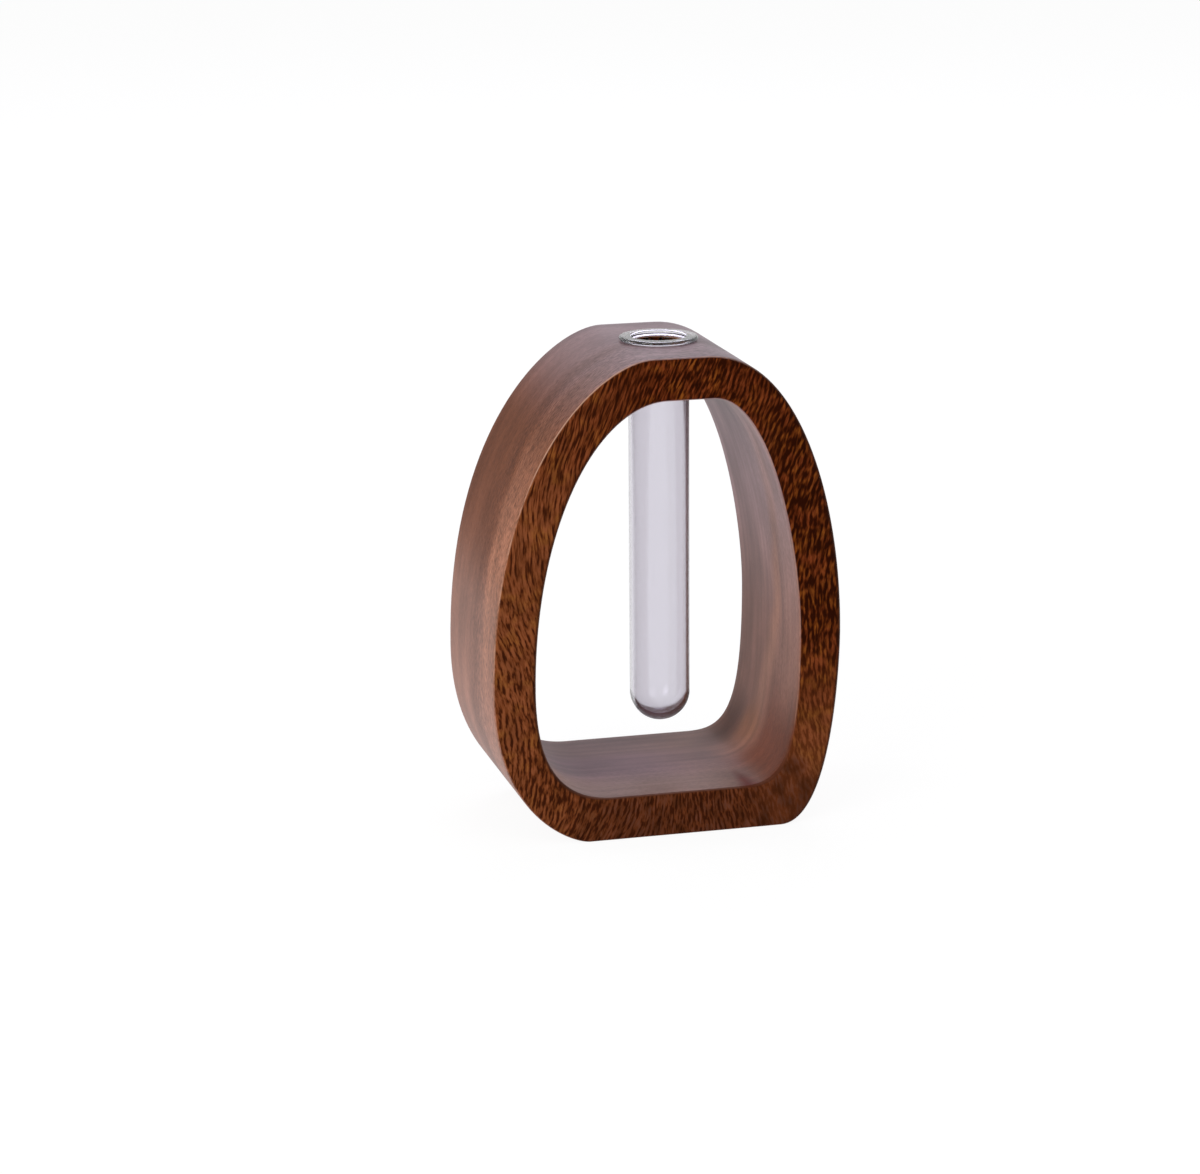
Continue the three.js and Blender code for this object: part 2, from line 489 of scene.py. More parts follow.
# %% Wood: coordinates in millimetres, and a mark on the flat faces
SOFT = {"interpolation_type": "SMOOTHSTEP"}
UNCLAMPED = {"clamp": False}
COLOURS = {"data_type": "RGBA"}
NUMBERS = {"data_type": "FLOAT"}
FLAT_FACE = (0.55, 0.9)

wood = bpy.data.materials.new("oiled_flecked_hardwood")
tree = new_tree(wood)
place = add_node(tree, "TexCoord")
in_mm = add_node(
    tree, "VectorMath", {0: place.outputs["Object"], "Scale": 1 / MM}, operation="SCALE"
)
across, depth, height = add_node(tree, "SeparateXYZ", [in_mm]).outputs
normal = place.outputs["Normal"]
normal_right, normal_back, normal_up = add_node(tree, "SeparateXYZ", [normal]).outputs
facing_front = add_node(tree, "Math", [normal_back], operation="ABSOLUTE")
on_flat_face = add_node(tree, "MapRange", [facing_front, *FLAT_FACE], **SOFT)
print(wood.name, "starts with", len(tree.nodes), "nodes")

# %% [markdown]
# ### The lean of the fibres
#
# The flecks' lean changes over the face. The lean is a sideways shift that depends on the height:
# where the shift grows fast, the flecks lie flatter. On the left the shift swings like a wave, from
# a lean to the right at the crown to one to the left at the bulge, and a short parabola turns it
# back to the right near the base. On the right it is one long parabola.
# A slow noise adds the small waves that no two fibres share.

# %% Wood: how far the fibres are shifted on the left, and how far on the right
LEAN_MEAN = 0.075
LEAN_SWING = 0.33
LEAN_HALF_WAVE = 57
FOOT_HEIGHT = 16
FOOT_LEAN_GROWTH = 0.02
RIGHT_LEAN_AT_BASE = -0.28
RIGHT_LEAN_GROWTH = 0.0072

wave_start = FRAME_HEIGHT - LEAN_HALF_WAVE
swing_reach = LEAN_SWING * LEAN_HALF_WAVE / math.pi
wave_angle = add_node(
    tree, "MapRange", [height, wave_start, FRAME_HEIGHT, -math.pi, 0], **UNCLAMPED
)
wave = add_node(tree, "Math", [wave_angle], operation="SINE")
left_swing = add_node(tree, "Math", [wave, swing_reach], operation="MULTIPLY")
left_shift = add_node(tree, "Math", [height, LEAN_MEAN, left_swing], operation="MULTIPLY_ADD")
below_foot = add_node(tree, "MapRange", [height, 0, FOOT_HEIGHT, FOOT_HEIGHT, 0])
foot_curve = add_node(tree, "Math", [below_foot, below_foot], operation="MULTIPLY")
left_shift = add_node(
    tree, "Math", [foot_curve, -FOOT_LEAN_GROWTH / 2, left_shift], operation="MULTIPLY_ADD"
)
right_slope = add_node(
    tree, "Math", [height, RIGHT_LEAN_GROWTH / 2, RIGHT_LEAN_AT_BASE], operation="MULTIPLY_ADD"
)
right_shift = add_node(tree, "Math", [right_slope, height], operation="MULTIPLY")
print("the swing reaches", round(swing_reach, 1), "mm to each side")

# %% Wood: coordinates in which upright flecks lean as the fibres do
RIGHT_HALF = (-12, 16)
WANDER_SIZE = 9
WANDER_REACH = 0.9

right_half = add_node(tree, "MapRange", [across, *RIGHT_HALF], **SOFT)
shift = add_node(tree, "Mix", {0: right_half, 2: left_shift, 3: right_shift}, **NUMBERS)
wander = add_node(tree, "TexNoise", {"Vector": in_mm, "Scale": 1 / WANDER_SIZE, "Detail": 1.0})
wander_shift = add_node(
    tree, "MapRange", [wander, 0, 1, -WANDER_REACH, WANDER_REACH], **UNCLAMPED
)
leaned = add_node(tree, "Math", [across, shift], operation="SUBTRACT")
leaned = add_node(tree, "Math", [leaned, wander_shift], operation="ADD")
fibre_space = add_node(tree, "CombineXYZ", [leaned, depth, height])
print("with the lean there are", len(tree.nodes), "nodes")

# %% [markdown]
# ### The flecks
#
# A fleck is a bundle of dark fibres cut at a slant: about half a millimetre wide and two or three
# long, with a red brown rim where oil has soaked in. A noise texture that is squeezed across the
# fibres and drawn out along them, and then cut off at a level, gives such flecks, each different.
# Where the level is low there are many and they run together, and where it is high they are rare.
# The flecks are longer on the left shoulder, broader on the right leg and softer on the right heel.

# %% Wood: areas of the flat faces: where each starts, where it is complete, and the shares there
FACE_AREAS = {
    "right_leg": (across, 12, 24),
    "upper_half": (height, 54, 88),
    "above_heel": (height, 12, 42),
    "near_base": (height, 26, 8, 0, 0.05),
    "shoulder_height": (height, 46, 60),
    "left_part": (across, 0, -12),
    "foot_height": (height, 14, 6),
    "foot_width": (across, -26, -8),
}
OFF_SHOULDER = (-28, -2, 0.25, 1)

area = {}
for name, (axis, *limits) in FACE_AREAS.items():
    area[name] = add_node(tree, "MapRange", [axis, *limits], **SOFT)
off_shoulder = add_node(tree, "MapRange", [across, *OFF_SHOULDER])
on_crown, on_shoulder, dark_right, foot = (
    add_node(tree, "Math", pair, operation="MULTIPLY")
    for pair in (
        [area["upper_half"], off_shoulder],
        [area["shoulder_height"], area["left_part"]],
        [area["right_leg"], area["above_heel"]],
        [area["foot_height"], area["foot_width"]],
    )
)
dark_wood = add_node(tree, "Math", [on_crown, dark_right], operation="MAXIMUM")
print("marked", len(area), "areas of the flat faces")

# %% Wood: the level above which noise becomes a fleck, from one area to the next
LEG_LEVEL, CROWN_LEVEL = 0.515, 0.46
HEEL_LEVEL, RIGHT_LEVEL = 0.54, 0.44
LOWER_ON_SHOULDER = 0.015
DRIFT_SIZE = 14
DRIFT = (0.3, 0.7, 0.03, -0.03)

level_left = add_node(tree, "MapRange", [on_crown, 0, 1, LEG_LEVEL, CROWN_LEVEL])
level_right = add_node(tree, "MapRange", [area["above_heel"], 0, 1, HEEL_LEVEL, RIGHT_LEVEL])
level = add_node(tree, "Mix", {0: area["right_leg"], 2: level_left, 3: level_right}, **NUMBERS)
level = add_node(tree, "Math", [level, area["near_base"]], operation="SUBTRACT")
drift = add_node(tree, "TexNoise", {"Vector": in_mm, "Scale": 1 / DRIFT_SIZE, "Detail": 1.0})
level_drift = add_node(tree, "MapRange", [drift, *DRIFT], **UNCLAMPED)
level = add_node(tree, "Math", [level, level_drift], operation="ADD")
level = add_node(tree, "Math", [on_shoulder, -LOWER_ON_SHOULDER, level], operation="MULTIPLY_ADD")
print("with the level there are", len(tree.nodes), "nodes")

# %% Wood: noises drawn out along the fibres, each with its size in millimetres and its detail
GRAINS = {
    "fleck": ((0.58, 4, 2.1), 2.0),
    "long_fleck": ((0.45, 4, 3.6), 2.0),
    "broad_fleck": ((0.68, 4, 2.3), 1.5),
    "dash": ((0.36, 3, 1.6), 1.0),
    "mottle": ((3, 4, 5), 2.0),
}
FLECK_LENGTH = 3.0
FLECK_SPACING = 1.1

grain = {}
for name, (size, detail) in GRAINS.items():
    grain_place = add_node(tree, "VectorMath", [fibre_space, size], operation="DIVIDE")
    grain[name] = add_node(
        tree, "TexNoise", {"Vector": grain_place, "Scale": 1.0, "Detail": detail}
    )
# Input 5 is the direction in 3-D, because the one in 2-D has the same name
rows = add_node(
    tree,
    "TexGabor",
    {
        "Vector": fibre_space,
        "Scale": 1 / FLECK_LENGTH,
        "Frequency": FLECK_LENGTH / FLECK_SPACING,
        "Anisotropy": 0.97,
        5: (1, 0, 0),
    },
    gabor_type="3D",
)
print("drew", len(grain), "noises and rows", FLECK_SPACING, "mm apart")

# %% Wood: flecks, their rims and the finer dashes between them
ROW_SHARE = 0.19
RIM_START, RIM_FULL = -0.12, 0.06
FLECK_START, DASH_START, DARK_FULL = -0.01, -0.02, 0.14

fleck_noise = grain["fleck"]
for share, kind in ((on_shoulder, "long_fleck"), (dark_right, "broad_fleck")):
    fleck_noise = add_node(tree, "Mix", {0: share, 2: fleck_noise, 3: grain[kind]}, **NUMBERS)
row_share = add_node(tree, "MapRange", [rows, 0, 1, -ROW_SHARE, ROW_SHARE], **UNCLAMPED)
fleck_field = add_node(tree, "Math", [fleck_noise, row_share], operation="ADD")
above_level = add_node(tree, "Math", [fleck_field, level], operation="SUBTRACT")
fleck_rim = add_node(tree, "MapRange", [above_level, RIM_START, RIM_FULL], **SOFT)
fleck = add_node(tree, "MapRange", [above_level, FLECK_START, DARK_FULL], **SOFT)
dash_above = add_node(tree, "Math", [grain["dash"], level], operation="SUBTRACT")
dash = add_node(tree, "MapRange", [dash_above, DASH_START, DARK_FULL], **SOFT)
print("with the flecks there are", len(tree.nodes), "nodes")

# %% Wood: the ground, which is paler on the left leg, stained at the foot and painted with shade by the right heel's corner
RED_GROUND, GOLD_GROUND = linear("#6F3318"), linear("#7A4215")
LEG_GROUND, LEG_GOLD = linear("#7B4428"), linear("#804C24")
FOOT_AND_HEEL_SHADE_GROUND = linear("#5D3526")
TINT_SIZE = 4
MORE_GOLD_ON_RIGHT = 0.08
GOLD_PATCHES = (0.45, 0.7)
# Painted shade on the face by the corner of the window's right heel
HEEL_CORNER_SHADES = [((19, FRONT, 10), 9, 3), ((25.6, FRONT, 11.8), 4, 1)]

tint = add_node(tree, "TexNoise", {"Vector": in_mm, "Scale": 1 / TINT_SIZE, "Detail": 2.0})
tint = add_node(tree, "Math", [dark_right, MORE_GOLD_ON_RIGHT, tint], operation="MULTIPLY_ADD")
gold = add_node(tree, "MapRange", [tint, *GOLD_PATCHES], **SOFT)
dark_ground, leg_ground = (
    add_node(tree, "Mix", {0: gold, 6: red, 7: golden}, **COLOURS).outputs[2]
    for red, golden in ((RED_GROUND, GOLD_GROUND), (LEG_GROUND, LEG_GOLD))
)
# The painted shade by the heel's corner takes the foot's dark colour
for middle, reach, core in HEEL_CORNER_SHADES:
    from_heel_corner_shade = add_node(tree, "VectorMath", [in_mm, middle], operation="DISTANCE")
    heel_corner_shade = add_node(tree, "MapRange", [from_heel_corner_shade.outputs["Value"], reach, core], **SOFT)
    foot = add_node(tree, "Math", [foot, heel_corner_shade], operation="MAXIMUM")
ground = leg_ground
for share, tone in ((dark_wood, dark_ground), (foot, FOOT_AND_HEEL_SHADE_GROUND)):
    ground = add_node(tree, "Mix", {0: share, 6: ground, 7: tone}, **COLOURS).outputs[2]
print("with the ground there are", len(tree.nodes), "nodes")

# %% Wood: how much of the dashes, rims and flecks shows, and how dark the mottles are
LEG_RIM_COLOUR, RIM_COLOUR = linear("#5A2B12"), linear("#451906")
LEG_FLECK_COLOUR, FLECK_COLOUR = linear("#361508"), linear("#240802")
DASH_STRENGTH = 0.55
RIM_STRENGTH = 0.85
SOFT_STRENGTH = 0.25
SOFT_SHADE = 0.92
MOTTLE_START, MOTTLE_END = 0.35, 0.6
MOTTLE_DARK, FOOT_MOTTLE_DARK, MOTTLE_PALE = 0.84, 0.6, 1.12

rim_tone, fleck_tone = (
    add_node(tree, "Mix", {0: dark_wood, 6: on_leg, 7: elsewhere}, **COLOURS).outputs[2]
    for on_leg, elsewhere in (
        (LEG_RIM_COLOUR, RIM_COLOUR),
        (LEG_FLECK_COLOUR, FLECK_COLOUR),
    )
)
darkest = add_node(tree, "MapRange", [foot, 0, 1, MOTTLE_DARK, FOOT_MOTTLE_DARK])
mottle_shade = add_node(
    tree, "MapRange", [grain["mottle"], MOTTLE_START, MOTTLE_END, darkest, MOTTLE_PALE]
)
on_heel = add_node(tree, "Math", [1, area["above_heel"]], operation="SUBTRACT")
on_heel = add_node(tree, "Math", [on_heel, area["right_leg"]], operation="MULTIPLY")
soft_share = add_node(tree, "MapRange", [on_heel, 0, 1, 1, SOFT_STRENGTH])
soft_shade = add_node(tree, "MapRange", [on_heel, 0, 1, 1, SOFT_SHADE])
mottle_shade = add_node(tree, "Math", [mottle_shade, soft_shade], operation="MULTIPLY")
fleck_share = add_node(tree, "Math", [soft_share, fleck], operation="MULTIPLY")
dash_share = add_node(tree, "Math", [dash, DASH_STRENGTH], operation="MULTIPLY")
dash_share = add_node(tree, "Math", [dash_share, soft_share], operation="MULTIPLY")
rim_share = add_node(tree, "Math", [fleck_rim, RIM_STRENGTH], operation="MULTIPLY")
print("flecks keep", SOFT_STRENGTH, "of their strength on the right heel")

# %% Wood: dashes, rims and flecks laid over the ground
face_colour = ground
for share, tone in ((dash_share, rim_tone), (rim_share, rim_tone), (fleck_share, fleck_tone)):
    face_colour = add_node(tree, "Mix", {0: share, 6: face_colour, 7: tone}, **COLOURS).outputs[2]
face_colour = add_node(
    tree, "VectorMath", {0: face_colour, "Scale": mottle_shade.outputs[0]}, operation="SCALE"
)
print("the flat faces take", len(tree.nodes), "nodes")

# %% [markdown]
# ### The rounded surfaces
#
# Here the fibres lie in the surface, and the wood is calmer. The inside of the window got less oil,
# so it is paler and greyer, and its floor goes from grey on the left to brown on the right. A pale
# painted sheen lies on what faces up and high in the window, where light from above and behind
# glances off the film. The drilled hole is painted pale, as light that reaches it through the glass,
# and the front of the window's right heel is painted darker, as shade.
#
# What tells the outside from the window is whether the surface faces away from the hoop's middle.

# %% Wood: marks on the outside, in the window and in the drilled hole
SIDE_AREAS = {
    "low_down": (height, 74, 14),
    "front_third": (depth, -3, -14),
    "back_third": (depth, 3, 11),
    "window_floor": (normal_up, 0.6, 0.97),
    "heel_right": (across, 14, 22),
    "heel_low": (height, 31, 15),
    "heel_front": (depth, 6, -6),
    # Painted sheen: pale where light from above and behind glances off what faces up and high in the
    # window
    "top_painted_sheen": (normal_up, 0.5, 0.97, 0, 0.15),
    "window_painted_sheen": (height, 28, 78, 0, 0.18),
    "brown_floor": (across, -3, 14, 0, 0.55),
}
MIDDLE = (0, 0, FRAME_HEIGHT / 2)
TURN_INWARD = (4, -4)
BORE_EDGE = (bore_radius + 0.5, bore_radius + 0.2)
CROWN_ONLY = (70, 80)

for name, (axis, *limits) in SIDE_AREAS.items():
    area[name] = add_node(tree, "MapRange", [axis, *limits], **SOFT)
from_middle = add_node(tree, "VectorMath", [in_mm, MIDDLE], operation="SUBTRACT")
facing_out = add_node(tree, "VectorMath", [from_middle, normal], operation="DOT_PRODUCT")
in_window = add_node(tree, "MapRange", [facing_out.outputs["Value"], *TURN_INWARD], **SOFT)
outside_only = add_node(tree, "Math", [1, in_window], operation="SUBTRACT")
# The front of the window's right heel, low down, which is given painted shade
heel = add_node(tree, "Math", [area["heel_right"], area["heel_low"]], operation="MULTIPLY")
heel = add_node(tree, "Math", [heel, area["heel_front"]], operation="MULTIPLY")
tube_axis = add_node(tree, "CombineXYZ", [TUBE_OFFSET, 0, height])
from_axis = add_node(tree, "VectorMath", [in_mm, tube_axis], operation="DISTANCE")
in_bore = add_node(tree, "MapRange", [from_axis.outputs["Value"], *BORE_EDGE])
crown_only = add_node(tree, "MapRange", [height, *CROWN_ONLY])
in_bore = add_node(tree, "Math", [in_bore, crown_only], operation="MULTIPLY")
print("marked", len(SIDE_AREAS), "areas of the rounded surfaces")

# %% Wood: the ground colours of the outside and of the window's walls and floor
UPPER_OUTSIDE = linear("#623A27")
RIGHT_SHOULDER = linear("#5C3628")
LOWER_OUTSIDE = linear("#8E6455")
WINDOW_WALL, WALL_FRONT = linear("#7E574C"), linear("#93685A")
WINDOW_FLOOR, FLOOR_FRONT = linear("#785C63"), linear("#8F726D")
FLOOR_BACK, FLOOR_RIGHT = linear("#6E5554"), linear("#6B4D3D")
# Painted shade for the front of the window's right heel
WINDOW_HEEL_SHADE = linear("#6A3724")
# The pale lilac of the painted sheen
PAINTED_SHEEN_COLOUR = linear("#D0CEE6")
# Painted light: the drilled hole is painted pale for the light that reaches it through the glass
PAINTED_BORE_LIGHT = linear("#B08468")

outside = UPPER_OUTSIDE
for share, tone in (
    (right_half, RIGHT_SHOULDER),
    (area["low_down"], LOWER_OUTSIDE),
    (area["top_painted_sheen"], PAINTED_SHEEN_COLOUR),
):
    outside = add_node(tree, "Mix", {0: share, 6: outside, 7: tone}, **COLOURS).outputs[2]
floor_tone = WINDOW_FLOOR
for share, tone in (
    (area["front_third"], FLOOR_FRONT),
    (area["back_third"], FLOOR_BACK),
    (area["brown_floor"], FLOOR_RIGHT),
):
    floor_tone = add_node(tree, "Mix", {0: share, 6: floor_tone, 7: tone}, **COLOURS).outputs[2]
window = WINDOW_WALL
for share, tone in (
    (area["front_third"], WALL_FRONT),
    (area["window_painted_sheen"], PAINTED_SHEEN_COLOUR),
    (area["window_floor"], floor_tone),
    (heel, WINDOW_HEEL_SHADE),
):
    window = add_node(tree, "Mix", {0: share, 6: window, 7: tone}, **COLOURS).outputs[2]
side_layers = [(in_window, window), (in_bore, PAINTED_BORE_LIGHT)]
print("with the grounds there are", len(tree.nodes), "nodes")

# %% [markdown]
# ### Bands that follow the hoop
#
# The growth of the tree shows as soft bands that keep a steady depth round the hoop. A paler strip
# of younger wood lies along the front of the left side, a dark band runs along the middle of the
# outside, and a warm streak crosses the inside of the right leg and broadens at its foot.
# A slow noise is added to the depth, so that all of them waver a little.

# %% Wood: the pale strip and the dark band
STRIP_COLOUR = linear("#8D5F4A")
BAND_COLOUR = linear("#40261B")
BAND_DEPTH = -2.5
BAND_REACH = 5
BAND_STRENGTH = 0.4
WAVER_SIZE = 16
WAVER = (0.3, 0.7, -1.8, 1.8)

waver = add_node(tree, "TexNoise", {"Vector": in_mm, "Scale": 1 / WAVER_SIZE, "Detail": 2.0})
waver_shift = add_node(tree, "MapRange", [waver, *WAVER], **UNCLAMPED)
wavy_depth = add_node(tree, "Math", [depth, waver_shift], operation="ADD")
STRIP_AREAS = {
    "strip_front": (wavy_depth, -5, -10),
    "strip_left": (across, -6, -18),
    "strip_top": (height, 84, 52, 0.2, 1),
    "strip_foot": (height, 24, 50, 0.2, 1),
}
for name, (axis, *limits) in STRIP_AREAS.items():
    area[name] = add_node(tree, "MapRange", [axis, *limits], **SOFT)
strip = add_node(tree, "Math", [area["strip_front"], area["strip_left"]], operation="MULTIPLY")
strip_height = add_node(
    tree, "Math", [area["strip_top"], area["strip_foot"]], operation="MULTIPLY"
)
strip = add_node(tree, "Math", [strip, strip_height], operation="MULTIPLY")

from_band = add_node(tree, "Math", [wavy_depth, BAND_DEPTH], operation="SUBTRACT")
from_band = add_node(tree, "Math", [from_band], operation="ABSOLUTE")
band = add_node(tree, "MapRange", [from_band, BAND_REACH, 0, 0, BAND_STRENGTH], **SOFT)
band = add_node(tree, "Math", [band, outside_only], operation="MULTIPLY")
side_layers += [(strip, STRIP_COLOUR), (band, BAND_COLOUR)]
print("the band is", 2 * BAND_REACH, "mm wide")

# %% Wood: the warm streak on the inside of the right leg
STREAK_COLOUR = linear("#9E6F5C")
STREAK_DEPTH = (16, 64, 2, -10.5)
STREAK_REACH = (12, 32, 9, 5)
STREAK_STRENGTH = (12, 32, 0.45, 0.8)
STREAK_AREAS = {
    "streak_right": (across, 13, 20),
    "streak_fade": (height, 44, 74, 1, 0.3),
}

streak_depth = add_node(tree, "MapRange", [height, *STREAK_DEPTH], **UNCLAMPED)
from_streak = add_node(tree, "Math", [wavy_depth, streak_depth], operation="SUBTRACT")
from_streak = add_node(tree, "Math", [from_streak], operation="ABSOLUTE")
reach = add_node(tree, "MapRange", [height, *STREAK_REACH])
strength = add_node(tree, "MapRange", [height, *STREAK_STRENGTH])
streak = add_node(tree, "MapRange", [from_streak, reach, 0, 0, strength], **SOFT)
for name, (axis, *limits) in STREAK_AREAS.items():
    area[name] = add_node(tree, "MapRange", [axis, *limits], **SOFT)
for mark in (area["streak_right"], in_window, area["streak_fade"]):
    streak = add_node(tree, "Math", [streak, mark], operation="MULTIPLY")
side_layers.append((streak, STREAK_COLOUR))
print("with the streak there are", len(tree.nodes), "nodes")

# %% [markdown]
# ### Marks at the right heel of the window
#
# In the right heel of the window, painted shade darkens its back corner, a golden patch of the
# wood lies in front of it, and a wedge of painted shade that widens towards the front darkens the
# corner where the floor meets the right wall. Each mark fades with the distance from its middle, and
# the wavering depth keeps its edge from being a circle.

# %% Wood: the painted shade in the back corner and the golden patch, each with its middle, reach, colour and strength
# The first mark is painted shade in the back corner, the second a golden patch of the wood
HEEL_SHADE_AND_GOLD = [
    ((22.5, 12.5, 11.5), 11, "#381F18", 0.8),
    ((23.8, 3.5, 14), 7, "#8A5636", 0.55),
]
MARK_CORE = 1

wavy_place = add_node(tree, "CombineXYZ", [across, wavy_depth, height])
for middle, mark_reach, tone, mark_strength in HEEL_SHADE_AND_GOLD:
    from_mark = add_node(tree, "VectorMath", [wavy_place, middle], operation="DISTANCE")
    mark = add_node(
        tree,
        "MapRange",
        [from_mark.outputs["Value"], mark_reach, MARK_CORE, 0, mark_strength],
        **SOFT,
    )
    mark = add_node(tree, "Math", [mark, in_window], operation="MULTIPLY")
    side_layers.append((mark, linear(tone)))
print("laid", len(HEEL_SHADE_AND_GOLD), "marks on the heel")

# %% Wood: the painted shade in the front corner of the heel
# Painted shade, darkest in the corner where the window's floor meets its right wall, near the front
CORNER_SHADE_COLOUR = linear("#5A1606")
CORNER_SHADE_ACROSS = 15.9
CORNER_SHADE_WAVER = 0.4
CORNER_SHADE_REACH = (-9, -19, 1, 3)
CORNER_SHADE_STRENGTH = 0.95
CORNER_SHADE_FRONT = (-7, -16)
CORNER_SHADE_LOW = (12, 10)

corner_shade_place = add_node(
    tree, "Math", [waver_shift, CORNER_SHADE_WAVER, CORNER_SHADE_ACROSS], operation="MULTIPLY_ADD"
)
from_corner_shade = add_node(tree, "Math", [across, corner_shade_place], operation="SUBTRACT")
from_corner_shade = add_node(tree, "Math", [from_corner_shade], operation="ABSOLUTE")
corner_shade_reach = add_node(tree, "MapRange", [depth, *CORNER_SHADE_REACH])
corner_shade = add_node(tree, "MapRange", [from_corner_shade, corner_shade_reach, 0, 0, CORNER_SHADE_STRENGTH], **SOFT)
corner_shade_front = add_node(tree, "MapRange", [depth, *CORNER_SHADE_FRONT], **SOFT)
corner_shade_low = add_node(tree, "MapRange", [height, *CORNER_SHADE_LOW])
for mark in (corner_shade_front, corner_shade_low, in_window):
    corner_shade = add_node(tree, "Math", [corner_shade, mark], operation="MULTIPLY")
side_layers.append((corner_shade, CORNER_SHADE_COLOUR))
print("with the crease there are", len(tree.nodes), "nodes")

# %% [markdown]
# ### Soft clouds, fine streaks and sanding grain
#
# No two places in the wood are equally dark. A slow noise clouds the colour, a noise drawn out
# along the hoop gives the streaks, and a fine one gives the specks of open pores, which the sanding
# left a little rough near the front and closed inside the window. Real pores are a tenth of a
# millimetre wide, too fine to show, so they are drawn a quarter of a millimetre wide. The same fine
# noise drives the bump.

# %% Wood: noises of the rounded surfaces, each with its size in millimetres, detail and roughness
SIDE_GRAINS = {
    "cloud": ((20, 8, 20), 2.0, 0.5),
    "streak": ((40, 2, 40), 3.0, 0.5),
    "speck": ((1.1, 0.27, 1.1), 1.0, 0.6),
}

for name, (size, detail, fineness) in SIDE_GRAINS.items():
    grain_place = add_node(tree, "VectorMath", [in_mm, size], operation="DIVIDE")
    grain[name] = add_node(
        tree,
        "TexNoise",
        {"Vector": grain_place, "Scale": 1.0, "Detail": detail, "Roughness": fineness},
    )
print("the pores are drawn", SIDE_GRAINS["speck"][0][1], "mm wide")

# %% Wood: clouds, streaks and specks that make the ground darker and paler
CLOUD_SHADE = (0.3, 0.7, 0.78, 1.2)
STREAK_SHADE = (0.3, 0.7, -0.5, 0.5)
STREAKS_OUTSIDE, STREAKS_IN_WINDOW = 0.2, 0.34
SPECK_SHADE = (0.3, 0.7, -0.5, 0.5)
OPEN_PORES = (6, -9, 0.35, 1)
PORES_IN_WINDOW = 0.35

side_colour = outside
for share, tone in side_layers:
    side_colour = add_node(tree, "Mix", {0: share, 6: side_colour, 7: tone}, **COLOURS).outputs[2]
cloud_shade = add_node(tree, "MapRange", [grain["cloud"], *CLOUD_SHADE])
streak_share = add_node(tree, "MapRange", [in_window, 0, 1, STREAKS_OUTSIDE, STREAKS_IN_WINDOW])
streak_shade = add_node(tree, "MapRange", [grain["streak"], *STREAK_SHADE])
streak_shade = add_node(tree, "Math", [streak_shade, streak_share, 1], operation="MULTIPLY_ADD")
open_pores = add_node(tree, "MapRange", [depth, *OPEN_PORES], **SOFT)
sanded = add_node(tree, "MapRange", [in_window, 0, 1, 1, PORES_IN_WINDOW])
speck_share = add_node(tree, "Math", [open_pores, sanded], operation="MULTIPLY")
speck_shade = add_node(tree, "MapRange", [grain["speck"], *SPECK_SHADE])
speck_shade = add_node(tree, "Math", [speck_shade, speck_share, 1], operation="MULTIPLY_ADD")
side_shade = cloud_shade
for shade in (streak_shade, speck_shade):
    side_shade = add_node(tree, "Math", [side_shade, shade], operation="MULTIPLY")
side_colour = add_node(
    tree, "VectorMath", {0: side_colour, "Scale": side_shade.outputs[0]}, operation="SCALE"
)
print("laid", len(side_layers), "layers over the outside's ground")

# %% [markdown]
# ### The worn edges
#
# Where a flat face meets a rounded surface, a hair line of paler wood shows, most of all on the left
# shoulder: partly wear, where fingers and cloths have rubbed the oil off, and partly painted
# highlight, where the eased edge catches the light. Low down in the window the edge is darker. The
# edges that turn to the right are eased more, and painted shade makes them softly dark, as they turn
# away from the light. The turn of the normal finds the line, and a noise breaks it up.

# %% Wood: where the edges are worn pale with painted highlight, darker low in the window, and given painted shade where they turn right
EDGE_AREAS = {
    "edge_start": (facing_front, 0.08, 0.3),
    "edge_end": (facing_front, 0.75, 0.45),
    "handled": (height, 12, 30, 0.25, 1),
    "upper_left": (across, 2, -10),
    "shoulder_edge": (height, 64, 78, 0, 0.85),
    "low_edge": (height, 20, 11, 0, 0.75),
    "turned_right": (normal_right, 0.1, 0.6, 0, 0.6),
}
PATCH_SIZE = 6
PATCHES = (0.4, 0.6, 0.1, 0.55)

for name, (axis, *limits) in EDGE_AREAS.items():
    area[name] = add_node(tree, "MapRange", [axis, *limits], **SOFT)
patchy = add_node(tree, "TexNoise", {"Vector": in_mm, "Scale": 1 / PATCH_SIZE, "Detail": 3.0})
patches = add_node(tree, "MapRange", [patchy, *PATCHES], **SOFT)
patches = add_node(tree, "Math", [patches, area["handled"]], operation="MULTIPLY")
edge_line, shoulder_line, low_line, edge_shade = (
    add_node(tree, "Math", pair, operation="MULTIPLY")
    for pair in (
        [area["edge_start"], area["edge_end"]],
        [area["upper_left"], area["shoulder_edge"]],
        [area["low_edge"], in_window],
        [area["turned_right"], area["edge_start"]],
    )
)
patches = add_node(tree, "Math", [patches, shoulder_line], operation="MAXIMUM")
# The pale line along the edge: partly wear, partly painted highlight
worn_edge_highlight = add_node(tree, "Math", [edge_line, patches], operation="MULTIPLY")
dark_low_edge = add_node(tree, "Math", [low_line, area["edge_start"]], operation="MULTIPLY")
print("with the edges there are", len(tree.nodes), "nodes")

# %% [markdown]
# ### The finish
#
# Oil and wax leave a satin film. A whole film of oil has an IOR of about 1.47. The faces hardly
# mirror anything, because most of the oil has soaked in, so the IOR is matched down and the
# mirrored light is tinted warm. A little sheen gives the pale bloom at a grazing angle. The outside
# is duller between the bulges and the crown, where the wax has worn thin.

# %% Wood: faces, rounded surfaces and edges joined, and the film over them
# The pale line of the edges, partly wear and partly painted highlight
WORN_EDGE_HIGHLIGHT_COLOUR = linear("#B48C76")
LOW_EDGE_COLOUR = linear("#4A281C")
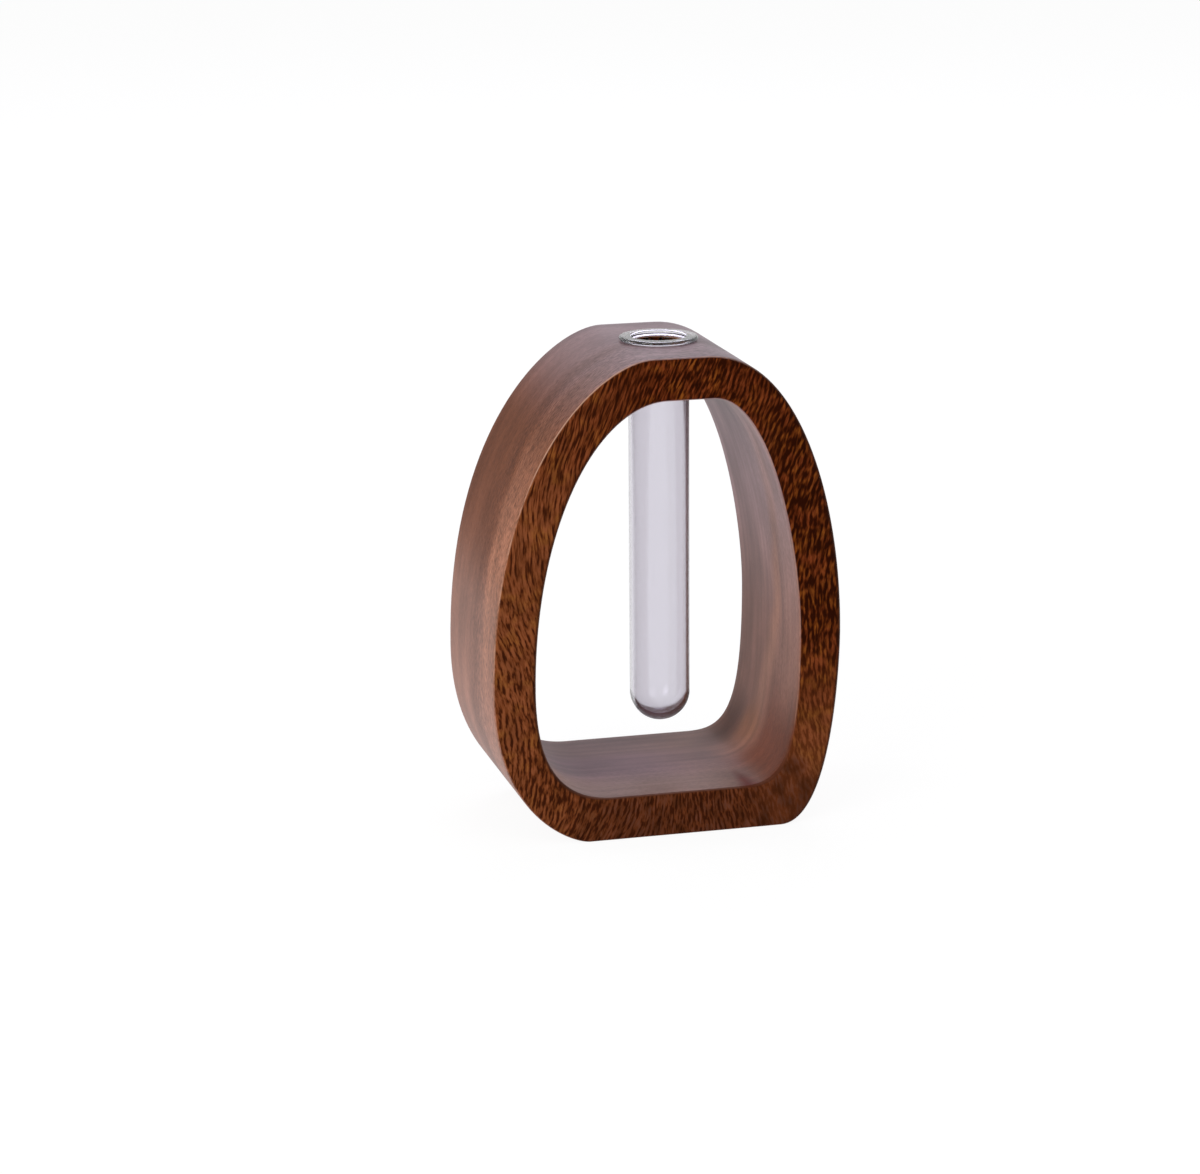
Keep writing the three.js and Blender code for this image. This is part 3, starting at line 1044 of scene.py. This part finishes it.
# Painted shade for the edges that turn to the right, away from the light
TURNED_EDGE_SHADE_COLOUR = linear("#1C0804")
ABOVE_BULGE = (44, 62)
UNDER_CROWN = (93, 82)
SATIN_ROUGHNESS, DULL_ROUGHNESS, FACE_ROUGHNESS = 0.42, 0.7, 0.6
BUMP_HEIGHT = 0.03 * MM

colour = side_colour
for share, tone in (
    (on_flat_face, face_colour),
    (worn_edge_highlight, WORN_EDGE_HIGHLIGHT_COLOUR),
    (dark_low_edge, LOW_EDGE_COLOUR),
    (edge_shade, TURNED_EDGE_SHADE_COLOUR),
):
    colour = add_node(tree, "Mix", {0: share, 6: colour, 7: tone}, **COLOURS).outputs[2]
above_bulge = add_node(tree, "MapRange", [height, *ABOVE_BULGE], **SOFT)
under_crown = add_node(tree, "MapRange", [height, *UNDER_CROWN], **SOFT)
dull = add_node(tree, "Math", [above_bulge, under_crown], operation="MULTIPLY")
dull = add_node(tree, "Math", [dull, outside_only], operation="MULTIPLY")
side_roughness = add_node(tree, "MapRange", [dull, 0, 1, SATIN_ROUGHNESS, DULL_ROUGHNESS])
roughness = add_node(
    tree, "Mix", {0: on_flat_face, 2: side_roughness, 3: FACE_ROUGHNESS}, **NUMBERS
)
bump = add_node(tree, "Bump", {"Height": grain["speck"], "Distance": BUMP_HEIGHT, "Strength": 0.6})
wood_surface = add_node(
    tree,
    "BsdfPrincipled",
    {
        "Base Color": colour,
        "Roughness": roughness,
        "IOR": 1.17,
        "Specular Tint": linear("#E09050"),
        "Sheen Weight": 0.12,
        "Sheen Roughness": 0.25,
        "Sheen Tint": linear("#EDE4F2"),
        "Normal": bump,
    },
)
add_node(tree, "OutputMaterial", {"Surface": wood_surface})
print(wood.name, "has", len(tree.nodes), "nodes")

# %% [markdown]
# ## The glass
#
# The tube is plain borosilicate glass, drawn and fire polished, with an IOR of 1.47. It is clear,
# but drawn glass is never quite even, which a little roughness stands for. An absorption through
# the wall's thickness gives the grey lilac tint, which adds up where light crosses more glass, so
# the tube reads against white.

# %% Glass
glass = bpy.data.materials.new("borosilicate_glass")
tree = new_tree(glass)
glass_surface = add_node(
    tree,
    "BsdfPrincipled",
    {
        "Base Color": linear("#EFEDF2"),
        "Roughness": 0.1,
        "IOR": 1.47,
        "Transmission Weight": 1.0,
    },
)
glass_tint = add_node(tree, "VolumeAbsorption", {"Color": linear("#7C7A8C"), "Density": 120})
add_node(tree, "OutputMaterial", {"Surface": glass_surface, "Volume": glass_tint})

for piece, material in ((hoop_block, wood), (test_tube, glass)):
    piece.data.materials.clear()
    piece.data.materials.append(material)
    print(piece.name, "is made of", material.name)

# %% [markdown]
# ## Floor, background and light
#
# The picture's background is plain white. The floor and the world are white to the camera, to
# reflections and to light that passes through the glass, but they light the object at a plain
# level. The floor keeps part of its own shading, so the object's soft shadow stays on it.

# %% Floor
FLOOR_SIZE = 6
PAPER_SHARE = 0.15
PAPER_LIGHT = 0.62

bpy.ops.mesh.primitive_plane_add(size=FLOOR_SIZE, location=(0, 0, 0))
floor = bpy.context.object
floor.name = "floor"
paper = bpy.data.materials.new("white_paper")
tree = new_tree(paper)


def seen_as_background(tree):
    """1 for camera, glossy and transmission rays, 0 for the rays that light the object."""
    ray = add_node(tree, "LightPath").outputs
    total = add_node(
        tree, "Math", [ray["Is Camera Ray"], ray["Is Glossy Ray"]], operation="ADD"
    )
    return add_node(
        tree, "Math", [total, ray["Is Transmission Ray"]], operation="ADD", use_clamp=True
    )


matte = add_node(tree, "BsdfDiffuse", {"Color": linear("#E6E6E6")})
glow = (1 - PAPER_SHARE * PAPER_LIGHT) / (1 - PAPER_SHARE)
white = add_node(tree, "Emission", {"Color": (1, 1, 1, 1), "Strength": glow})
share = add_node(tree, "Math", [seen_as_background(tree), 1 - PAPER_SHARE], operation="MULTIPLY")
blend = add_node(tree, "MixShader", [share, matte, white])
add_node(tree, "OutputMaterial", {"Surface": blend})
floor.data.materials.append(paper)
print("the floor keeps", PAPER_SHARE, "of its own shading")

# %% World
AMBIENT = 0.55

world = bpy.data.worlds.new("white_surround")
bpy.context.scene.world = world
tree = new_tree(world)
strength = add_node(tree, "MapRange", [seen_as_background(tree), 0, 1, AMBIENT, 1])
surround = add_node(tree, "Background", [(1, 1, 1, 1), strength])
add_node(tree, "OutputWorld", {"Surface": surround})
print("the world lights the object at", AMBIENT)

# %% Lamps: square softboxes that face the middle of the object
LAMPS = {
    # Place and size in metres, watts and colour
    "left_softbox": ((-0.9, -0.75, 0.45), 0.7, 7, "#FFFFFF"),
    "left_back_softbox": ((-1.1, 0.45, 0.4), 0.7, 4, "#FFFFFF"),
    "front_softbox": ((0.4, -1.0, 0.7), 0.7, 2, "#FFFFFF"),
    "back_softbox": ((0.3, 0.95, 0.9), 0.6, 4, "#ECE8FF"),
}
LAMP_TARGET = mm_point(0, 0, 45)

for name, (lamp_place, size, watts, lamp_colour) in LAMPS.items():
    bpy.ops.object.light_add(type="AREA", location=lamp_place)
    lamp = bpy.context.object
    lamp.name = name
    lamp.data.size = size
    lamp.data.energy = watts
    lamp.data.color = linear(lamp_colour)[:3]
    lamp.visible_camera = False
    facing = (LAMP_TARGET - Vector(lamp_place)).to_track_quat("-Z", "Y")
    lamp.rotation_euler = facing.to_euler()
print("lit by", len(LAMPS), "softboxes")

# %% [markdown]
# ## The new pieces on their bodies
#
# Each new piece rides on the body that it belongs to and stands for its solid in the imported model.

# %% Ride, replace and finish
bpy.context.scene.view_settings.view_transform = "Standard"
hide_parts("wooden_frame")
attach(hoop_block, "frame")
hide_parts("glass_tube")
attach(test_tube, "tube")
